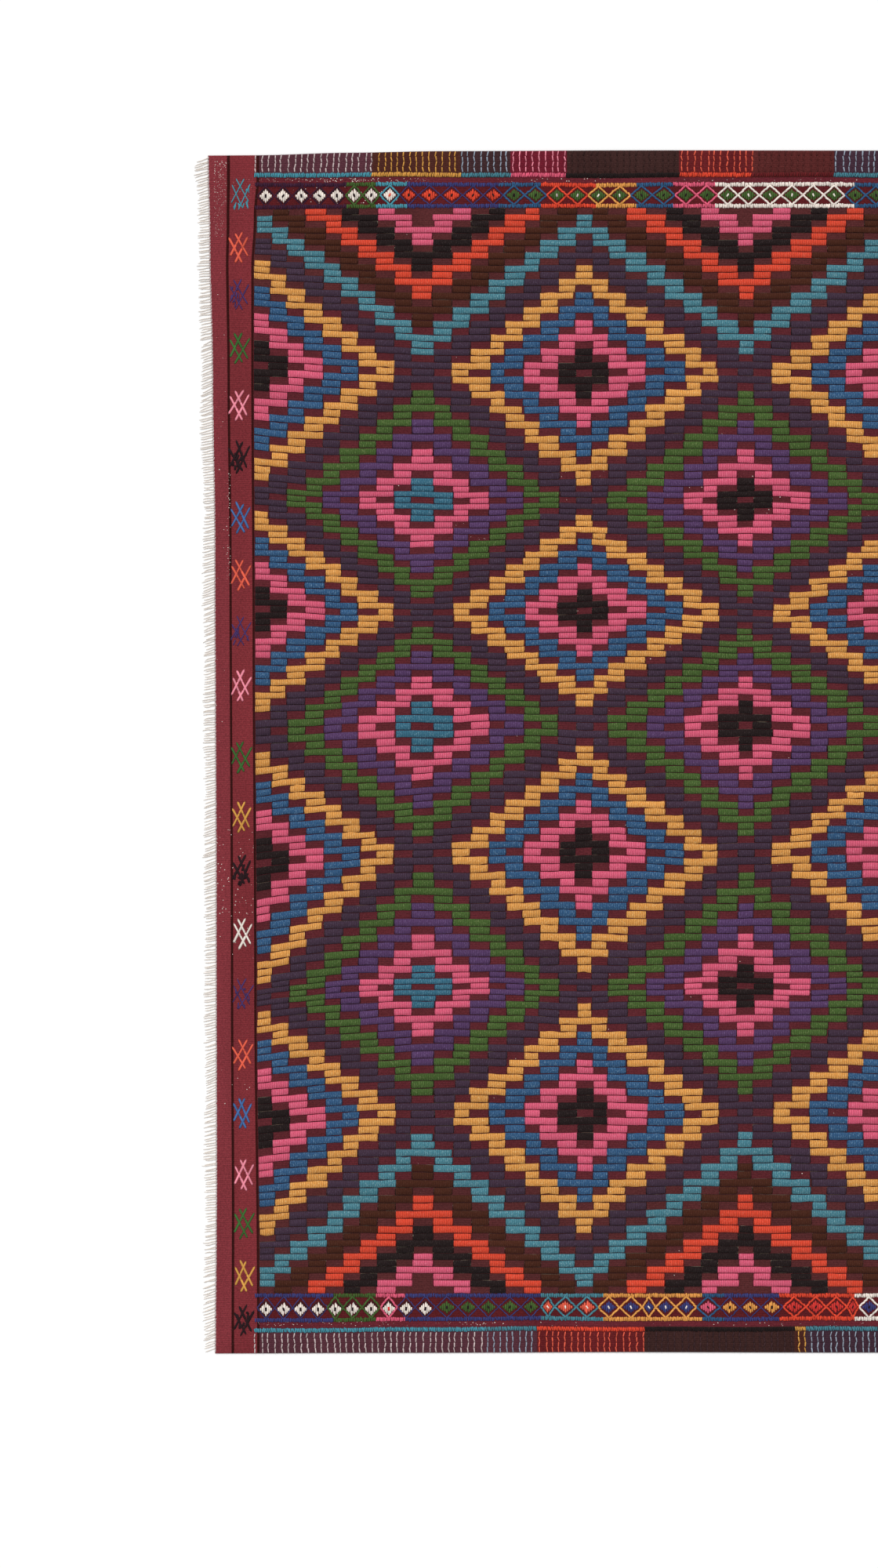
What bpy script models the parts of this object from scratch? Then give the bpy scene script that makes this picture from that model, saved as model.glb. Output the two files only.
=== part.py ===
"""Kilim rug: a flat brocaded cloth whose warp ends are left as a short fringe at each end.

The rug lies flat on z = 0. +X runs along the warp, +Y across the cloth, +Z up, and the origin is under
the middle of the rug. Three pieces: the woven cloth and one comb of warp ends at each end of it.
"""

import math

import bmesh
import bpy

# Driving dimensions, in metres.
CLOTH_WIDTH = 1.706
BLOCK_LENGTH = 0.0254  # one block of brocade, measured along the warp
REPEAT_BLOCKS = 18  # blocks from one lozenge's centre to the next
REPEATS = 5
END_BAND = 0.0660  # plain weft-faced band between the field and the cloth's end
BAND_THICKNESS = 0.0022
FIELD_THICKNESS = 0.0038  # the extra-weft floats make the field thicker than the bands
GAP = 0.0003  # between the cloth and each comb

FRINGE_HEADER = 0.0025  # closely packed root of the warp ends
FRINGE_LENGTH = 0.0155  # from the header to a typical tip
FRINGE_THICKNESS = 0.0012
TEETH = 112
TOOTH_SHARE = 0.72  # part of the pitch that a bunch of warp ends fills
CORNER_MARGIN = 0.0060  # from a corner of the cloth to the comb, which leans that way
SIDE_STEPS = 36  # outline points along each long edge

FIELD_LENGTH = (REPEAT_BLOCKS * REPEATS + 1) * BLOCK_LENGTH
CLOTH_LENGTH = FIELD_LENGTH + 2 * END_BAND

# How far the end of the cloth stands back from its furthest point, across the rug.
END_EDGE = [
    # across   set_back
    (0.853, 0.0000),
    (0.730, 0.0022),
    (0.530, 0.0062),
    (0.290, 0.0095),
    (-0.200, 0.0112),
    (-0.600, 0.0118),
    (-0.853, 0.0102),
]

# How far each long edge stands in from the full width, by the distance from the nearer end.
BACK_EDGE = [
    # from_end  set_in
    (0.000, 0.0074),
    (0.070, 0.0070),
    (0.200, 0.0034),
    (0.330, 0.0012),
    (0.620, 0.0000),
    (1.250, 0.0008),
]
FRONT_EDGE = [
    # from_end  set_in
    (0.000, 0.0000),
    (0.250, 0.0008),
    (0.600, 0.0018),
    (0.900, 0.0012),
    (1.250, 0.0016),
]

WOOL_RED = (0.235, 0.028, 0.040, 1.0)
WARP_WHITE = (0.700, 0.680, 0.640, 1.0)


def smooth_between(table, place):
    """Value of a two-column table at a place, eased from row to row."""
    rows = sorted(table)
    if place <= rows[0][0]:
        return rows[0][1]
    for (place_a, value_a), (place_b, value_b) in zip(rows, rows[1:]):
        if place <= place_b:
            share = (place - place_a) / (place_b - place_a)
            eased = share * share * (3 - 2 * share)
            return value_a + (value_b - value_a) * eased
    return rows[-1][1]


def end_x(across):
    """Distance from the rug's middle to the end of the cloth, at a place across it."""
    return CLOTH_LENGTH / 2 - smooth_between(END_EDGE, across)


def side_y(along, side):
    """Where a long edge lies; side is +1 for the back edge and -1 for the front one."""
    from_end = max(0.0, CLOTH_LENGTH / 2 - abs(along))
    table = BACK_EDGE if side > 0 else FRONT_EDGE
    return side * (CLOTH_WIDTH / 2 - smooth_between(table, from_end))


def across_stations(count):
    """Places across the cloth, from its front corner to its back corner at the ends."""
    front = side_y(CLOTH_LENGTH / 2, -1)
    back = side_y(CLOTH_LENGTH / 2, 1)
    return [front + (back - front) * i / count for i in range(count + 1)]


def cloth_material(name, colour, roughness):
    material = bpy.data.materials.new(name)
    material.use_nodes = True
    shader = material.node_tree.nodes["Principled BSDF"]
    shader.inputs["Base Color"].default_value = colour
    shader.inputs["Roughness"].default_value = roughness
    shader.inputs["Metallic"].default_value = 0.0
    return material


def add_object(name, bm, material):
    mesh = bpy.data.meshes.new(name)
    bmesh.ops.recalc_face_normals(bm, faces=bm.faces[:])
    bm.to_mesh(mesh)
    bm.free()
    mesh.materials.append(material)
    piece = bpy.data.objects.new(name, mesh)
    bpy.context.scene.collection.objects.link(piece)
    return piece


def raise_faces(bm, faces, height):
    """Extrude faces straight up by a height."""
    made = bmesh.ops.extrude_face_region(bm, geom=faces)
    moved = [item for item in made["geom"] if isinstance(item, bmesh.types.BMVert)]
    bmesh.ops.translate(bm, verts=moved, vec=(0.0, 0.0, height))


def cloth_outline():
    """Points round the cloth, counter-clockwise from the front left corner."""
    corner = CLOTH_LENGTH / 2
    left = [(-end_x(y), y) for y in across_stations(SIDE_STEPS // 2)]
    right = [(end_x(y), y) for y in across_stations(SIDE_STEPS // 2)]
    inner = [-corner + CLOTH_LENGTH * i / SIDE_STEPS for i in range(1, SIDE_STEPS)]
    front = [(x, side_y(x, -1)) for x in inner]
    back = [(x, side_y(x, 1)) for x in inner]
    return left[:1] + front + right + back[::-1] + left[:0:-1]


def build_cloth(material):
    """One sheet: thin bands at the ends, and the thicker brocaded field between them."""
    bm = bmesh.new()
    bm.faces.new([bm.verts.new((x, y, 0.0)) for x, y in cloth_outline()])
    for field_end in (-FIELD_LENGTH / 2, FIELD_LENGTH / 2):
        bmesh.ops.bisect_plane(
            bm,
            geom=bm.verts[:] + bm.edges[:] + bm.faces[:],
            plane_co=(field_end, 0.0, 0.0),
            plane_no=(1.0, 0.0, 0.0),
        )
    raise_faces(bm, bm.faces[:], BAND_THICKNESS)
    field = [
        face
        for face in bm.faces
        if min(corner.co.z for corner in face.verts) > BAND_THICKNESS / 2
        and abs(face.calc_center_median().x) < FIELD_LENGTH / 2
    ]
    raise_faces(bm, field, FIELD_THICKNESS - BAND_THICKNESS)
    bmesh.ops.delete(bm, geom=field, context="FACES_ONLY")
    return add_object("kilim_cloth", bm, material)


def tooth_tip(across):
    """Length and sideways lean of the warp ends that leave the cloth at a place across it."""
    wave = math.sin(23.0 * across + 0.6) + 0.7 * math.sin(61.0 * across + 1.9)
    ripple = math.sin(157.0 * across) * 0.6 + math.sin(211.0 * across + 0.4) * 0.4
    length = FRINGE_LENGTH * (1.0 + 0.10 * wave + 0.08 * ripple)
    lean = -0.0045 + 0.0028 * math.sin(17.0 * across + 2.0) + 0.0016 * ripple
    return length, lean


def build_fringe(name, end, material):
    """Comb of warp ends; end is -1 at the left end of the rug and +1 at the right end."""
    front = side_y(CLOTH_LENGTH / 2, -1) + CORNER_MARGIN
    back = side_y(CLOTH_LENGTH / 2, 1) - GAP
    pitch = (back - front) / TEETH
    bm = bmesh.new()

    def root_pair(y):
        """The inner and the outer point of the header at a place across the rug."""
        inner = end_x(y) + GAP
        outer = end_x(y) + GAP + FRINGE_HEADER
        return bm.verts.new((end * inner, y, 0.0)), bm.verts.new((end * outer, y, 0.0))

    last = root_pair(front)
    for tooth in range(TEETH):
        start_y = front + tooth * pitch
        stop_y = start_y + pitch * TOOTH_SHARE
        stop = root_pair(stop_y)
        bm.faces.new((last[0], last[1], stop[1], stop[0]))
        length, lean = tooth_tip(start_y)
        tips = []
        for root, taper in ((last[1], 0.12), (stop[1], -0.12)):
            tip_y = root.co.y + lean + taper * pitch
            tips.append(bm.verts.new((root.co.x + end * length, tip_y, 0.0)))
        bm.faces.new((last[1], tips[0], tips[1], stop[1]))
        last = stop
        if tooth < TEETH - 1:
            following = root_pair(start_y + pitch)
            bm.faces.new((last[0], last[1], following[1], following[0]))
            last = following
    raise_faces(bm, bm.faces[:], FRINGE_THICKNESS)
    return add_object(name, bm, material)


def main():
    for item in list(bpy.data.objects):
        bpy.data.objects.remove(item, do_unlink=True)
    wool = cloth_material("kilim_wool", WOOL_RED, 0.95)
    warp = cloth_material("warp_yarn", WARP_WHITE, 0.9)
    build_cloth(wool)
    build_fringe("left_fringe", -1, warp)
    build_fringe("right_fringe", 1, warp)


main()
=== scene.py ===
# %% [markdown]
# # A brocaded kilim rug
# A kilim is a rug with no pile. This one is woven in red wool, and rows of extra coloured yarn are
# laid over the red ground as it is woven. Those floats stand up as narrow ribs, and the ribs draw
# stepped lozenges. The fixed frame gives the size of the cloth and of the fringe at each end, and
# everything here is worked out from it.

# %% Load the fixed frame
import math

import bpy
import numpy as np
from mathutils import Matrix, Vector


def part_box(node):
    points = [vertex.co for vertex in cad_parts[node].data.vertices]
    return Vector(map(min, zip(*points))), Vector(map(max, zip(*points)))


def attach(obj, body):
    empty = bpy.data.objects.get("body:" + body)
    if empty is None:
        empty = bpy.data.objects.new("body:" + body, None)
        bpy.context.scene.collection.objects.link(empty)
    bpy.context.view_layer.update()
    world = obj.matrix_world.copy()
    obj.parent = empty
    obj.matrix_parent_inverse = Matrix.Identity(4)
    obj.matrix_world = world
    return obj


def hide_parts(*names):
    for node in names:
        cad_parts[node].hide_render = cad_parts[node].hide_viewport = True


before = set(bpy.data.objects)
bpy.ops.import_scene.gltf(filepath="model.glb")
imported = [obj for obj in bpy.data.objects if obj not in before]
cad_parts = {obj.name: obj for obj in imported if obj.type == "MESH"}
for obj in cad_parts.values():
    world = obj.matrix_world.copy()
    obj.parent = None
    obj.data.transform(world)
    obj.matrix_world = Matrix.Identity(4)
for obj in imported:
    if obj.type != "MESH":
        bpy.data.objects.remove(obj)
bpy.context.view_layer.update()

cloth_low, cloth_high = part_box("kilim_cloth")
print("cloth box", [round(v, 4) for v in (*cloth_low, *cloth_high)])

# %% [markdown]
# ## Sizes
# A weaver counts. Along the rug the pattern moves in blocks of about 25 mm, and across it in ribs
# of about 10 mm. One lozenge takes 18 blocks and 36 ribs to repeat. The plain end bands are
# what is left of the length.

# %% Sizes
HALF_LENGTH = (cloth_high[0] - cloth_low[0]) / 2
HALF_WIDTH = (cloth_high[1] - cloth_low[1]) / 2
CREST = cloth_high[2]  # the height that the ribs reach
GROUND = 0.0021  # the face of the plain red cloth
BLOCK = 0.0254
REPEAT_BLOCKS, REPEAT_RIBS = 18, 36
BLOCKS = 5 * REPEAT_BLOCKS + 1
RIBS = 157
FIRST_CENTRE = 24  # the rib on which the first row of lozenges is centred
HALF_FIELD = BLOCKS * BLOCK / 2
rng = np.random.default_rng(12)
print(f"cloth {2 * HALF_LENGTH:.3f} by {2 * HALF_WIDTH:.3f} m, end band {HALF_LENGTH - HALF_FIELD:.3f} m")

# %% [markdown]
# ## The camera
# The rug is seen from straight above, so the camera hangs over it on a long lens, which keeps the
# far corners from spreading. The camera looks past the fringe at the left end and takes in rather
# more than the first third of the rug.

# %% The camera
VIEW_HEIGHT = 2.2222
VIEW_CENTRE = (-HALF_LENGTH + 0.3278, -0.0456)
LENS, SENSOR = 85.0, 36.0

camera_data = bpy.data.cameras.new("camera")
camera_data.lens = LENS
camera_data.sensor_width = SENSOR
camera_data.sensor_fit = "AUTO"
camera = bpy.data.objects.new("camera", camera_data)
camera.location = (*VIEW_CENTRE, VIEW_HEIGHT * LENS / SENSOR + CREST)
bpy.context.scene.collection.objects.link(camera)
bpy.context.scene.camera = camera
bpy.context.scene.view_settings.view_transform = "Standard"
print("camera height", round(camera.location.z, 3))

# %% [markdown]
# ## The outline
# No hand-woven cloth has straight edges. Each edge follows a short table of how far it stands
# in from the full size, and the same tables made the frame's solids. The far end repeats the near one.

# %% The outline
END_EDGE = [  # across, set back
    (0.853, 0.0000),
    (0.730, 0.0022),
    (0.530, 0.0062),
    (0.290, 0.0095),
    (-0.200, 0.0112),
    (-0.600, 0.0118),
    (-0.853, 0.0102),
]
BACK_EDGE = [  # distance from the nearer end, set in
    (0.000, 0.0074),
    (0.070, 0.0070),
    (0.200, 0.0034),
    (0.330, 0.0012),
    (0.620, 0.0000),
    (1.250, 0.0008),
]
FRONT_EDGE = [  # distance from the nearer end, set in
    (0.000, 0.0000),
    (0.250, 0.0008),
    (0.600, 0.0018),
    (0.900, 0.0012),
    (1.250, 0.0016),
]


def eased(table, place):
    """Value of a two-column table at one or many places, eased from row to row."""
    rows = np.array(sorted(table))
    place = np.clip(place, rows[0, 0], rows[-1, 0])
    row = np.clip(np.searchsorted(rows[:, 0], place, side="right") - 1, 0, len(rows) - 2)
    share = (place - rows[row, 0]) / (rows[row + 1, 0] - rows[row, 0])
    share = share * share * (3 - 2 * share)
    return rows[row, 1] + (rows[row + 1, 1] - rows[row, 1]) * share


def end_x(across):
    """Distance from the middle of the rug to the end of the cloth."""
    return HALF_LENGTH - eased(END_EDGE, across)


def set_in(along, side):
    """How far a long edge stands in; side is +1 for the back edge and -1 for the front one."""
    from_end = np.maximum(0.0, HALF_LENGTH - np.abs(along))
    return eased(BACK_EDGE if side > 0 else FRONT_EDGE, from_end)


print("left end of the cloth at the middle:", round(float(-end_x(0.0)), 4))

# %% [markdown]
# ## The lines of the weave
# Everything on the rug sits on two sets of lines. Block lines cross the rug and rib lines run along
# it. A weaver beats one part harder than another, so the lines crowd and spread. Two small
# tables hold that unevenness and a few slow waves are added. Every piece asks the same two functions
# where a line lies, so all of them shift together.

# %% The block lines
BLOCK_WIDTHS_MM = [22, 25, 25, 27, 24, 25, 26, 25, 24, 32, 27, 25, 27, 23, 27, 22, 27]
BLOCK_WIDTHS_MM += [25, 23, 22, 27, 28, 26, 27, 26, 23, 28, 22, 27, 26, 29, 24, 27, 23]
FIELD_START = [  # across, how far the field starts past its mean line
    (0.845, 0.0073),
    (0.750, 0.0027),
    (0.690, -0.0010),
    (0.530, -0.0012),
    (0.170, 0.0005),
    (-0.350, 0.0030),
    (-0.770, 0.0070),
    (-0.853, 0.0075),
]
later = 25.4 + rng.normal(0, 1.5, BLOCKS - len(BLOCK_WIDTHS_MM))
block_widths = np.array([*BLOCK_WIDTHS_MM, *later])
block_lines = np.concatenate([[0.0], np.cumsum(block_widths)])
block_lines *= 2 * HALF_FIELD / block_lines[-1]


def along(line, across):
    """X of a block line; -1 to 0 is the left end band, and the far band runs one past the last."""
    place = np.interp(line, np.arange(BLOCKS + 1), block_lines)
    shift = eased(FIELD_START, across)
    drift = 0.0011 * np.sin(9.0 * across + 1.7 * line) + 0.0008 * np.sin(23.0 * across - 2.3 * line)
    held = np.clip(np.minimum(line, BLOCKS - line), 0, 1)
    near = np.exp(-place / 0.15) - np.exp(-(2 * HALF_FIELD - place) / 0.15)
    field = place - HALF_FIELD + shift * near + drift * held
    band = end_x(across) - HALF_FIELD + shift
    return field + band * (np.clip(line, -1, 0) + np.clip(line - BLOCKS, 0, 1))


# %% The rib lines
RIB_LINES = [  # rib, across
    (0.0, 0.7711),
    (9.0, 0.6900),
    (24.5, 0.5378),
    (40.0, 0.3767),
    (45.0, 0.3356),
    (60.5, 0.1989),
    (76.0, 0.0633),
    (81.0, 0.0100),
    (96.5, -0.1422),
    (112.0, -0.3122),
    (117.0, -0.3533),
    (132.5, -0.5122),
    (148.0, -0.6822),
    (157.0, -0.7678),
]
END_FAN = [  # rib, how far the ribs fan out at the left end
    (0.0, -0.0028),
    (13.0, 0.0100),
    (24.5, 0.0110),
    (60.5, 0.0020),
    (96.5, -0.0180),
    (132.5, -0.0144),
    (157.0, 0.0000),
]
FAN_LENGTH = 0.10
RIB_WAVES = [  # height, turns along the rug, turns across it, start
    (0.0011, 11.0, 0.045, 0.0),
    (0.0010, 14.5, -0.150, 1.1),
    (0.0008, 23.0, 0.210, 2.3),
    (0.0006, 37.0, -0.330, 0.4),
    (0.0004, 61.0, 0.520, 5.0),
]
rib_table = np.array(RIB_LINES)


def across(rib, x):
    """Y of a rib line in the field, at a place along the rug."""
    y = np.interp(rib, rib_table[:, 0], rib_table[:, 1])
    fan = eased(END_FAN, rib) * np.exp(-np.maximum(x + HALF_FIELD, 0) / FAN_LENGTH)
    held = np.sin(np.pi * np.clip(rib / RIBS, 0, 1)) ** 0.5
    wave = sum(tall * np.sin(a * x + b * rib + c) for tall, a, b, c in RIB_WAVES)
    return y + fan + wave * held


def on_weave(line, rib):
    """X and Y of a place in the field, given by its block line and its rib line."""
    rough = np.interp(line, np.arange(BLOCKS + 1), block_lines) - HALF_FIELD
    y = across(rib, rough)
    x = along(line, y)
    return x, across(rib, x)


# Lines of the side borders: how far out each lies at the back edge, and at the front one.
BORDER_LINES = {
    "cord_out": (0.8217, 0.8219),
    "cord_in": (0.8139, 0.8144),
    "band_out": (0.8070, 0.8066),
    "band_in": (0.7711, 0.7678),
}
FRONT_LEAN = 0.0028  # the front border leans out a little towards the left end


def border_y(name, x, side):
    """Y of a named line of a side border; side is +1 at the back and -1 at the front."""
    if name == "edge":
        return side * (HALF_WIDTH - set_in(x, side))
    place = side * BORDER_LINES[name][0 if side > 0 else 1]
    if name == "band_in":
        return across(0.0 if side > 0 else float(RIBS), x)
    lean = (side < 0) * FRONT_LEAN * np.exp(-np.maximum(x + HALF_FIELD, 0) / 0.12)
    return place - lean + 0.0005 * np.sin(13.0 * x + side) + 0.0004 * np.sin(31.0 * x)


print("rib pitch", round(1000 * (RIB_LINES[0][1] - RIB_LINES[-1][1]) / RIBS, 2), "mm")

# %% [markdown]
# ## The dyes
# The yarns are dyed by the hank. A colour is written here as it looks in daylight, in the usual
# hexadecimal form, and one function turns it into the linear numbers that a shader needs. Each yarn
# has a second, deeper colour for the groove beside its rib, where the light doesn't reach.

# %% The dyes
DYES = {
    # name: rib, groove with painted shade
    "pink": ("#dc5f7b", "#7c1230"),
    "blue": ("#34597f", "#1c2a48"),
    "yellow": ("#e09c50", "#571f0c"),
    "navy": ("#41303f", "#33232f"),
    "purple": ("#563c63", "#38233f"),
    "green": ("#46602f", "#2a2c14"),
    "teal": ("#4b8290", "#243c4c"),
    "brown": ("#472519", "#3a1b14"),
    "orange": ("#dd4a33", "#6f120e"),
    "black": ("#231a1a", "#1b1012"),
    "sea": ("#3a6c82", "#1c3550"),
}
CLOTHS = {
    "field": "#5c252b",
    "upper_field": "#56292a",
    "plain_band": "#83343b",
    "motif_band": "#7e2f35",
    "line": "#35100f",
    "mauve": "#57303a",
    "umber": "#4a2620",
    "dusk": "#40292c",
    "crimson": "#6c1b2b",
    "soot": "#3d2523",
    "burgundy": "#661f22",
    "russet": "#5a2726",
    "night": "#402a36",
    "gap": "#66252e",
    "wine": "#5a1c20",
    "aubergine": "#3f2036",
}
THREADS = {
    "white": "#efe4da",
    "ivory": "#d9c0a8",
    "pale": "#c9b7b6",
    "grey_blue": "#9aa5b4",
    "gold": "#d39a4a",
    "rose": "#ee8ea0",
    "red": "#d03a35",
    "coral": "#e0604a",
    "ink": "#2a1a1e",
    "lake": "#4c93a4",
    "indigo": "#3d3f74",
    "violet": "#4a3568",
    "leaf": "#3f6b34",
    "sky": "#4a6fa8",
}


def linear(code):
    """The linear red, green and blue of a hexadecimal colour."""
    shown = [int(code[i : i + 2], 16) / 255 for i in (1, 3, 5)]
    return [v / 12.92 if v <= 0.04045 else ((v + 0.055) / 1.055) ** 2.4 for v in shown]


def colour_of(name):
    """A dye, cloth or thread by its name."""
    code = THREADS.get(name) or CLOTHS.get(name) or DYES[name][0]
    return linear(code)


print(len(DYES), "dyes,", len(CLOTHS), "cloths,", len(THREADS), "threads")

# %% [markdown]
# ## The chart
# The lozenges need no picture. The distance of a block from a lozenge's centre is the number of
# ribs plus twice the number of blocks, and every fourth step of that distance is bare ground. Between
# two bare steps lie three ribs of one dye. Two kinds of lozenge take turns, one centred half a
# repeat away from the other both ways. Past the last lozenges the bands simply go on in new dyes.

# %% The chart
MAIN_BANDS = ["black", "pink", "blue", "yellow", "navy"]
SECOND_BANDS = ["", "pink", "purple", "green", "navy"]
SECOND_HEARTS = ["sea", "black"]  # the dyes at the heart of every second lozenge, in turn
OUTER_BANDS = [*MAIN_BANDS, "teal", "brown", "orange", "black", "pink"]
LOZENGE_ROWS = 4
LAST_CENTRE = FIRST_CENTRE + (LOZENGE_ROWS - 1) * REPEAT_RIBS


def distance(rib, block, first_rib, first_block, rows):
    """Steps from a cell to the nearest lozenge of one kind."""
    row = np.clip(np.round((rib - first_rib) / REPEAT_RIBS), 0, rows - 1)
    column = np.round((block - first_block) / REPEAT_BLOCKS)
    ribs_off = np.abs(rib - first_rib - row * REPEAT_RIBS)
    return ribs_off + 2 * np.abs(block - first_block - column * REPEAT_BLOCKS)


def dye_at(rib, block):
    """The dye that covers a cell of the field, or an empty word for bare ground."""
    main = int(distance(rib, block, FIRST_CENTRE, 0, LOZENGE_ROWS))
    half_rib, half_block = REPEAT_RIBS // 2, REPEAT_BLOCKS // 2
    second = int(distance(rib, block, FIRST_CENTRE + half_rib, half_block, LOZENGE_ROWS - 1))
    if rib < FIRST_CENTRE or rib > LAST_CENTRE:
        band = main // 4
        return "" if main % 4 == 0 or band >= len(OUTER_BANDS) else OUTER_BANDS[band]
    if main % 4 == 0:
        return ""
    if main <= second:
        return MAIN_BANDS[main // 4]
    if second < 4:
        return SECOND_HEARTS[int(block // REPEAT_BLOCKS) % 2]
    return SECOND_BANDS[second // 4]


chart = [[dye_at(rib, block) for block in range(BLOCKS)] for rib in range(RIBS)]
used = sorted({dye for row in chart for dye in row if dye})
print(f"{RIBS} ribs by {BLOCKS} blocks, dyes in the field: {', '.join(used)}")

# %% [markdown]
# ## Modelling once and laying many
# A rug has thousands of ribs and stitches. Each shape is modelled once with Blender's own tools. Its
# corners are then read as numbers, repeated for each place and bent onto the lines of the weave, and
# all the copies of one kind go into a single mesh. Each copy carries its own colour and a little
# chance in its tone.


# %% Helpers for modelling one shape
def fresh_start():
    """Leave nothing selected, so that an operator acts on its own piece only."""
    bpy.ops.object.select_all(action="DESELECT")


def select_where(piece, test):
    """Go into edit mode with only those corners selected whose place passes a test."""
    bpy.ops.object.mode_set(mode="EDIT")
    bpy.context.tool_settings.mesh_select_mode = (True, False, False)
    bpy.ops.mesh.select_all(action="DESELECT")
    bpy.ops.object.mode_set(mode="OBJECT")
    for corner in piece.data.vertices:
        corner.select = bool(test(corner.co))
    bpy.ops.object.mode_set(mode="EDIT")


def take_shape(piece):
    """Read a modelled shape as corners and faces, and clear the model away."""
    bpy.ops.object.mode_set(mode="EDIT")
    bpy.ops.mesh.select_all(action="SELECT")
    bpy.ops.mesh.normals_make_consistent(inside=False)
    bpy.ops.object.mode_set(mode="OBJECT")
    corners = np.array([corner.co[:] for corner in piece.data.vertices])
    faces = [list(face.vertices) for face in piece.data.polygons]
    bpy.data.objects.remove(piece, do_unlink=True)
    return corners, faces


# %% Helpers for laying many copies
def batch(shape, places, colours, tones):
    """Many copies of one shape: the corners of each, its colour and its tone."""
    colours = np.broadcast_to(np.asarray(colours, float), (len(places), 3))
    return shape[1], places, colours, np.broadcast_to(tones, (len(places),))


def lay(name, batches):
    """Join batches of copies into one piece."""
    corners, loops, totals, colours, tones = [], [], [], [], []
    used = 0
    for faces, places, colour, tone in batches:
        copies, size = places.shape[:2]
        one = np.concatenate([np.array(face) for face in faces])
        corners.append(places.reshape(-1, 3))
        loops.append((one[None, :] + used + size * np.arange(copies)[:, None]).ravel())
        totals.append(np.tile([len(face) for face in faces], copies))
        colours.append(np.repeat(colour, size, axis=0))
        tones.append(np.repeat(tone, size))
        used += copies * size
    mesh = mesh_of(name, np.concatenate(corners), np.concatenate(loops), np.concatenate(totals))
    mesh.shade_smooth()
    paint(mesh, "dye", np.concatenate(colours), "POINT")
    layer = mesh.attributes.new("tone", "FLOAT", "POINT")
    layer.data.foreach_set("value", np.concatenate(tones).astype(np.float32))
    return finish_piece(name, mesh)


def mesh_of(name, corners, loops, totals):
    """A mesh from its corners, the corners of its faces in turn, and the size of each face."""
    mesh = bpy.data.meshes.new(name)
    mesh.vertices.add(len(corners))
    mesh.vertices.foreach_set("co", corners.astype(np.float32).ravel())
    mesh.loops.add(len(loops))
    mesh.loops.foreach_set("vertex_index", loops.astype(np.int32))
    mesh.polygons.add(len(totals))
    starts = np.concatenate([[0], np.cumsum(totals)[:-1]])
    mesh.polygons.foreach_set("loop_start", starts.astype(np.int32))
    mesh.update(calc_edges=True)
    return mesh


def paint(mesh, name, colours, where):
    """Store a colour for each point, or for each corner of each face, of a mesh."""
    full = np.ones((len(colours), 4), np.float32)
    full[:, :3] = colours
    layer = mesh.attributes.new(name, "FLOAT_COLOR", where)
    layer.data.foreach_set("color", full.ravel())


def finish_piece(name, mesh):
    """Link a mesh as a piece that rides on the rug."""
    flat_map(mesh)
    piece = bpy.data.objects.new(name, mesh)
    bpy.context.scene.collection.objects.link(piece)
    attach(piece, "root")
    mesh.calc_loop_triangles()
    triangles[name] = len(mesh.loop_triangles)
    print(f"{name}: {triangles[name]} triangles")
    return piece


def flat_map(mesh):
    """Map the faces as seen from above, with those that look down in a strip of their own."""
    corner = np.empty(len(mesh.loops), np.int32)
    mesh.loops.foreach_get("vertex_index", corner)
    place = np.empty(len(mesh.vertices) * 3, np.float32)
    mesh.vertices.foreach_get("co", place)
    flat = place.reshape(-1, 3)[corner, :2]
    flat = (flat - flat.min(0)) / np.ptp(flat, axis=0)
    normal = np.empty(len(mesh.polygons) * 3, np.float32)
    mesh.polygons.foreach_get("normal", normal)
    totals = np.empty(len(mesh.polygons), np.int32)
    mesh.polygons.foreach_get("loop_total", totals)
    down = np.repeat(normal.reshape(-1, 3)[:, 2] < -0.2, totals)
    share = 0.5 if mesh.name == "ground_cloth" else 0.06
    flat[:, 1] = np.where(down, flat[:, 1] * (share - 0.01), share + flat[:, 1] * (1 - share))
    layer = mesh.uv_layers.new(name="OFBake")
    layer.uv.foreach_set("vector", (0.002 + 0.996 * flat).astype(np.float32).ravel())


triangles = {}
print("helpers ready")

# %% [markdown]
# ## The ground cloth
# Under all the colour lies one plain red cloth, woven so that the weft hides the warp. It is a
# closed sheet: a grid of the block lines and rib lines on top, the same grid below, and a soft rim. A
# colour is stored for each face, so that the end bands, the side borders and the dark lines
# are clean. The underside shows where the coloured yarns pass, flatter and duller, as the back of
# such a rug does.

# %% The lines of the ground cloth
BAND_LINES = [-1.0, -0.992, -0.975, -0.63, -0.57, -0.055, 0.0]  # from the cloth's end to the field
RIM_HEIGHTS = {0: 0.0009, 1: 0.0017}  # the rim's outer line and the one inside it
RIM_STEPS = [0.0, 0.0004, 0.0013]  # how far in the rim's lines lie along a long edge
BORDER_NAMES = ["cord_out", "cord_in", "band_out"]
STRIPS = {  # side: (until, ground, stitch, cord), in metres from the start of the field
    1: [
        (0.167, "mauve", "pale", "lake"),
        (0.292, "umber", "gold", "gold"),
        (0.363, "dusk", "grey_blue", "teal"),
        (0.443, "crimson", "rose", "pink"),
        (0.602, "soot", "soot", "black"),
        (0.706, "burgundy", "coral", "orange"),
        (0.822, "russet", "russet", "burgundy"),
        (0.960, "night", "grey_blue", "teal"),
    ],
    -1: [
        (0.328, "mauve", "pale", "lake"),
        (0.401, "mauve", "grey_blue", "teal"),
        (0.553, "burgundy", "coral", "orange"),
        (0.766, "soot", "dusk", "black"),
        (0.781, "umber", "gold", "gold"),
        (0.960, "night", "grey_blue", "teal"),
    ],
}
STRIP_CYCLE = 0.960


def section(sections, x):
    """The row of a table of sections that a place along the border falls in."""
    from_start = (x + HALF_FIELD) % STRIP_CYCLE
    for row in sections:
        if from_start < row[0]:
            return row
    return sections[-1]


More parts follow.
